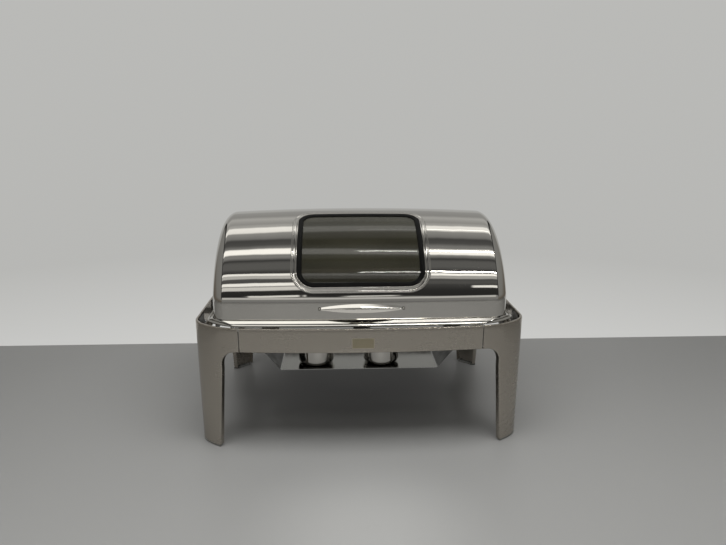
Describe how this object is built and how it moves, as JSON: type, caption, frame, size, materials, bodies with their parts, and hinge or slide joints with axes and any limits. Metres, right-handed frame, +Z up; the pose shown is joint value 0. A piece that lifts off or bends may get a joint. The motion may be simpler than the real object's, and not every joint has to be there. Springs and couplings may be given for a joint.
{
  "type": "roll top chafer",
  "caption": "Buffet chafing dish: legged stand, half-cylinder windowed lid that rolls back, nested water and food pans, and fuel cups on a shelf.",
  "frame": {"origin": "on the floor, below the centre of the stand", "axes": "+X along the stand's length to the right as seen by a user at the front, +Y to the back, +Z up"},
  "size_m": [0.64, 0.46, 0.439],
  "materials": {
    "satin_steel": "satin brushed stainless steel",
    "polished_steel": "mirror polished stainless steel",
    "bracket_steel": "plain mill finish stainless steel",
    "shelf_steel": "polished stainless steel",
    "pan_steel": "drawn stainless steel",
    "badge": "etched steel, blank",
    "foot_plastic": "translucent grey plastic",
    "tinted_glass": "tinted tempered glass",
    "black_rubber": "black rubber gasket",
    "bumper_rubber": "black rubber",
    "nylon": "natural nylon",
    "black_knob": "black phenolic",
    "zinc_fastener": "plain steel fastener"
  },
  "bodies": {
    "stand": {"leg_front_left": "satin_steel", "leg_front_right": "satin_steel", "leg_rear_left": "satin_steel", "leg_rear_right": "satin_steel", "rail_front": "satin_steel", "rail_rear": "satin_steel", "rail_left": "satin_steel", "rail_right": "satin_steel", "splice_plates": "bracket_steel", "splice_nuts": "zinc_fastener", "foot_guards": "foot_plastic", "badge_plate": "badge", "pan_deck": "polished_steel", "deck_brackets": "bracket_steel", "side_bar_left": "bracket_steel", "side_bar_right": "bracket_steel", "pivot_bracket_left": "bracket_steel", "pivot_bracket_right": "bracket_steel", "pivot_pin_left": "zinc_fastener", "pivot_pin_right": "zinc_fastener", "pivot_nuts": "zinc_fastener", "bracket_screws": "zinc_fastener", "pivot_washers": "nylon", "stop_pins": "zinc_fastener", "lid_bumpers": "bumper_rubber", "shelf_hanger_left": "bracket_steel", "shelf_hanger_right": "bracket_steel", "hanger_screws": "zinc_fastener", "fuel_shelf": "shelf_steel", "shelf_screws": "zinc_fastener"},
    "lid": {"lid_shell": "polished_steel", "window_glass": "tinted_glass", "window_gasket": "black_rubber", "window_bezel": "polished_steel", "window_retainer": "bracket_steel", "lid_handle": "polished_steel", "handle_studs": "polished_steel", "handle_nuts": "zinc_fastener", "hub_plate_left": "bracket_steel", "hub_plate_right": "bracket_steel", "hub_bush_left": "nylon", "hub_bush_right": "nylon", "hub_rivets": "zinc_fastener"},
    "water_pan": {"water_pan": "pan_steel"},
    "food_pan": {"food_pan": "pan_steel"},
    "cup_left": {"fuel_cup_left": "polished_steel", "cover_pin_left": "zinc_fastener"},
    "cover_left": {"fuel_cover_left": "polished_steel", "cover_knob_left": "black_knob"},
    "cup_right": {"fuel_cup_right": "polished_steel", "cover_pin_right": "zinc_fastener"},
    "cover_right": {"fuel_cover_right": "polished_steel", "cover_knob_right": "black_knob"}
  },
  "joints": [
    {"name": "lid_roll", "type": "hinge", "parent": "stand", "child": "lid", "pos_m": [0, 0, 0.262], "axis": [-1, 0, 0], "range_deg": [0, 90]},
    {"name": "water_pan_lift", "type": "slide", "parent": "stand", "child": "water_pan", "axis": [0, 0, 1], "range_m": [0, 0.015]},
    {"name": "food_pan_lift", "type": "slide", "parent": "water_pan", "child": "food_pan", "axis": [0, 0, 1], "range_m": [0, 0.025]},
    {"name": "cup_left_slide", "type": "slide", "parent": "stand", "child": "cup_left", "axis": [0, -1, 0], "range_m": [0, 0.04]},
    {"name": "cup_right_slide", "type": "slide", "parent": "stand", "child": "cup_right", "axis": [0, -1, 0], "range_m": [0, 0.04]},
    {"name": "cover_left_swing", "type": "hinge", "parent": "cup_left", "child": "cover_left", "pos_m": [-0.092, -0.008, 0.16], "axis": [0, 0, -1], "range_deg": [0, 100]},
    {"name": "cover_right_swing", "type": "hinge", "parent": "cup_right", "child": "cover_right", "pos_m": [0.048, -0.008, 0.16], "axis": [0, 0, 1], "range_deg": [0, 100]}
  ]
}
